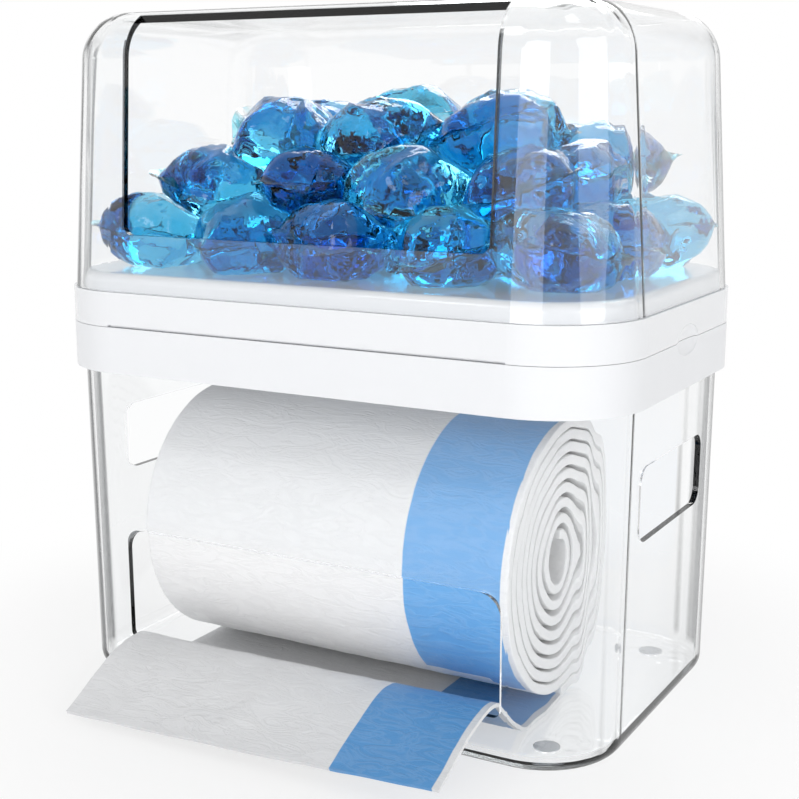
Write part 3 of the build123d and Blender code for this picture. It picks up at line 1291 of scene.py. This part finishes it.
@dataclass
class PodHeap:
    """Heap of gel pods, laid where the solid pods are and pressed against each other, in millimetres."""

    shape: PodShape = PodShape()
    shapes: int = 5
    solid_half: float = 18.0
    solid_crown: float = 12.5
    side_half: float = 22.0
    side_slope: float = 0.02
    side_lead: float = 2.0
    digits: int = 7
    near: float = 65.0
    apart: float = 1.04
    smallest: float = 0.3
    halvings: int = 8
    tray_top: float = 176.35
    room: Span = (122.2, 79.2)
    room_base: float = 176.0
    room_slope: float = 0.0664
    fill_share: float = 1.25
    tones: tuple[Tone, ...] = (Tone.MID, Tone.DEEP, Tone.MID, Tone.PALE, Tone.DEEP, Tone.MID)
    tone_step: int = 5
    tone_shift: int = 7

    def build(self) -> None:
        """Model the shapes once, lay a copy where each pod is and press it against its neighbours."""
        gels = {tone: PodGel(f"PodGel{tone.name.title()}", tone).material() for tone in Tone}
        film = PodFilm().material()
        patterns = [self.shape.pattern(seed) for seed in range(self.shapes)]
        names = sorted(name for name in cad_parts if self.is_pod(name))
        places = [self.place(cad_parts[name]) for name in names]
        for number, name in enumerate(names):
            piece = self.copy(patterns[number % self.shapes], "Gel" + name.title().replace("_", ""))
            self.press(piece, number, places)
            tone = self.tones[(self.tone_step * number + number // self.tone_shift) % len(self.tones)]
            Bench.dress(piece, gels[tone], film)
            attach(piece, Body.TRAY.value)
            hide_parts(name)
            LOG.info("laid %s", piece.name)
        for pattern in patterns:
            bpy.data.objects.remove(pattern, do_unlink=True)

    def is_pod(self, name: str) -> bool:
        """Whether a node is one of the numbered pods."""
        return name.startswith(POD_PREFIX) and name.removeprefix(POD_PREFIX).isdigit()

    def copy(self, pattern: Piece, name: str) -> Piece:
        """Copy a shape with its own mesh.

        Args:
            pattern: The shape.
            name: Name of the copy.

        Returns:
            The copy.
        """
        piece = pattern.copy()
        piece.data = pattern.data.copy()
        piece.name = name
        piece.data.name = name
        bpy.context.scene.collection.objects.link(piece)
        return piece

    def press(self, piece: Piece, number: int, places: list[Matrix]) -> None:
        """Lay a pod in its place, pressed against the pods round it, and note where it is filled.

        Args:
            piece: The pod at the origin.
            number: Its number in the heap.
            places: Turn and place of every pod.
        """
        mesh, own = piece.data, places[number]
        mesh.transform(own)
        flat = np.empty(3 * len(mesh.vertices), dtype=np.float32)
        mesh.vertices.foreach_get("co", flat)
        gaps = [(place.translation - own.translation).length for place in places]
        near = [place for place, gap in zip(places, gaps) if 0 < gap < self.near * MM]
        points = self.inside(self.squeezed(flat.reshape(-1, 3).astype(float), own, near))
        mesh.vertices.foreach_set("co", points.astype(np.float32).ravel())
        top, bottom = points[:, 2].max(), points[:, 2].min()
        fill = np.clip(self.fill_share * (top - points[:, 2]) / (top - bottom), 0.0, 1.0)
        mesh.attributes.new(GEL_LAYER, "FLOAT", "POINT").data.foreach_set("value", fill.astype(np.float32))
        mesh.update()

    def squeezed(self, points: np.ndarray, own: Matrix, near: list[Matrix]) -> np.ndarray:
        """Draw the points that reach into other pods back towards the middle.

        Args:
            points: Points of a pod in metres.
            own: Its turn and place.
            near: Turn and place of the pods round it.

        Returns:
            The points drawn back.
        """
        centre = np.array(own.translation)
        low, high = np.full(len(points), self.smallest), np.ones(len(points))
        whole = self.clear(points, own, near)
        for _ in range(self.halvings):
            middle = (low + high) / 2
            good = self.clear(centre + middle[:, None] * (points - centre), own, near)
            low, high = np.where(good, middle, low), np.where(good, high, middle)
        return centre + np.where(whole, 1.0, low)[:, None] * (points - centre)

    def inside(self, points: np.ndarray) -> np.ndarray:
        """Keep points above the tray and inside the sloping walls of the cover.

        Args:
            points: Points in metres, which are moved.

        Returns:
            The points.
        """
        points[:, 2] = np.maximum(points[:, 2], self.tray_top * MM)
        slope = self.room_slope * (points[:, 2] - self.room_base * MM)
        for axis, half in enumerate(self.room):
            limit = half * MM - slope
            points[:, axis] = np.clip(points[:, axis], -limit, limit)
        return points

    def clear(self, points: np.ndarray, own: Matrix, near: list[Matrix]) -> np.ndarray:
        """Find the points that lie nearer to a pod than to the pods round it.

        Args:
            points: Points in metres.
            own: Turn and place of the pod.
            near: Turn and place of the pods round it.

        Returns:
            True for each such point.
        """
        reach = self.depth(points, own)
        clear = np.ones(len(points), dtype=bool)
        for other in near:
            clear &= self.apart * reach < self.depth(points, other)
        return clear

    def depth(self, points: np.ndarray, place: Matrix) -> np.ndarray:
        """Measure how far points lie from the middle of a pod.

        Args:
            points: Points in metres.
            place: Turn and place of the pod.

        Returns:
            The distances, 1 at the skin of the pod.
        """
        turn = np.array(place.to_3x3())
        local = (points - np.array(place.translation)) @ turn / MM
        plan = np.sqrt(local[:, 0] ** 4 + local[:, 1] ** 4) / self.solid_half**2
        return np.sqrt(plan + (local[:, 2] / self.solid_crown) ** 2)

    def place(self, node: Piece) -> Matrix:
        """Turn and place of a solid pod, read from its flat faces.

        Args:
            node: The solid pod.

        Returns:
            The matrix from the pattern to its place.
        """
        corners = {tuple(round(c, self.digits) for c in vertex.co) for vertex in node.data.vertices}
        centre = sum((Vector(c) for c in corners), Vector()) / len(corners)
        faces = [(face.normal.dot(face.center - centre), face.normal.copy()) for face in node.data.polygons]
        upright = min(faces, key=lambda face: face[0])[1]
        if upright.z < 0:
            upright.negate()
        across = Vector((1, 0, 0))
        widest = 0.0
        for reach, normal in faces:
            level = abs(normal.dot(upright)) < self.side_slope
            if level and self.side_lead * widest < reach < self.side_half * MM:
                widest, across = reach, normal
        side = upright.cross(across).normalized()
        across = side.cross(upright)
        turn = Matrix((across, side, upright)).transposed().to_4x4()
        return Matrix.Translation(centre) @ turn


def save_sizes() -> None:
    """Bring the view layer up to date."""
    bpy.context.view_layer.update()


def main() -> None:
    """Build and dress the dispenser piece by piece."""
    logging.basicConfig(level=logging.INFO, format="%(message)s")
    effects = Effects()
    Studio().build()
    Shells().dress(effects)
    BagRoll().build(effects)
    LeadingBag().build(effects)
    PodHeap().build()
    save_sizes()
    low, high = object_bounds()
    LOG.info("whole object %.0f mm high", (high.z - low.z) / MM)


if __name__ == "__main__":
    main()
